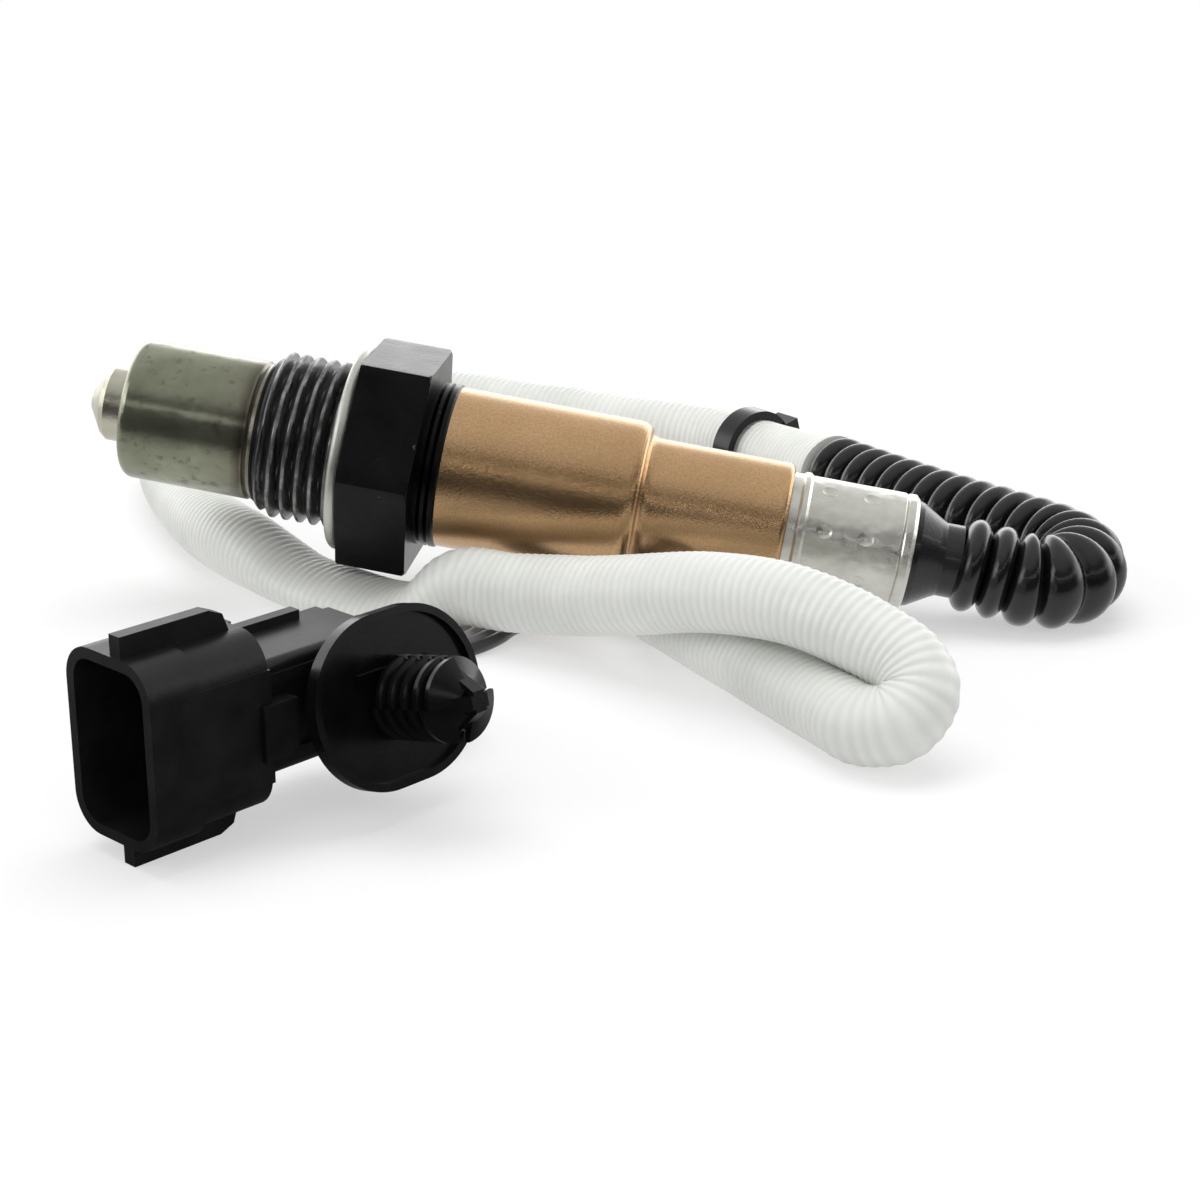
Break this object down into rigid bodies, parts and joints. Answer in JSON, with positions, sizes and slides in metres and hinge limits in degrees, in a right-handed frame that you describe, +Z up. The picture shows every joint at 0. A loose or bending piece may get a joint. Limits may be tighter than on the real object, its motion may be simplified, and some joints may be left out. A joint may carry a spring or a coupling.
{
  "type": "oxygen sensor",
  "caption": "Heated exhaust oxygen sensor with a threaded probe, hexagon, copper coloured sleeve, bellows tail, ribbed cable sleeve, plug and barbed panel clip.",
  "frame": {"origin": "on the thread axis, in the plane where the sealing ring meets the exhaust boss", "axes": "+Z up as the part lies on a table; the sensor points its cable end along +X, tilted 9.2 degrees down and turned 6.5 degrees towards -Y, and its probe towards -X"},
  "size_m": [0.1153, 0.1492, 0.0284],
  "materials": {
    "steel_olive": "heat tinted, satin",
    "steel_nose": "satin",
    "steel_black": "black oxide, satin",
    "steel_bright": "satin",
    "copper_sleeve": "copper coloured plating, satin",
    "ceramic": "matt",
    "talc": "matt",
    "contact_alloy": "satin",
    "rubber_black": "glossy",
    "rubber_brown": "matt",
    "sleeve_white": "silky",
    "wire_white": "satin",
    "wire_grey": "satin",
    "wire_black": "satin",
    "plastic_black": "fine texture",
    "tin": "bright",
    "seal_red": "matt"
  },
  "bodies": {
    "root": {"nose_tube": "steel_nose", "outer_probe_tube": "steel_olive", "hex_shell": "steel_black", "sealing_ring": "steel_bright", "sensing_element": "ceramic", "front_ceramic": "ceramic", "talc_packing": "talc", "rear_ceramic": "ceramic", "press_ring": "steel_bright", "contact_holder": "ceramic", "contact_springs": "contact_alloy", "holder_spring_ring": "steel_bright", "wire_barrels": "contact_alloy", "copper_sleeve": "copper_sleeve", "rubber_grommet": "rubber_brown", "lead_wires": "wire_white", "crimp_collar": "steel_bright", "rubber_boot": "rubber_black", "bellows_tube": "rubber_black", "cable_sleeve": "sleeve_white", "cable_tie": "plastic_black", "wire_1": "wire_white", "wire_2": "wire_white", "wire_3": "wire_grey", "wire_4": "wire_black", "connector_housing": "plastic_black", "terminal_pins": "tin", "secondary_lock": "plastic_black", "wire_seal": "seal_red", "rear_cover": "plastic_black", "panel_clip": "plastic_black"}
  },
  "joints": []
}
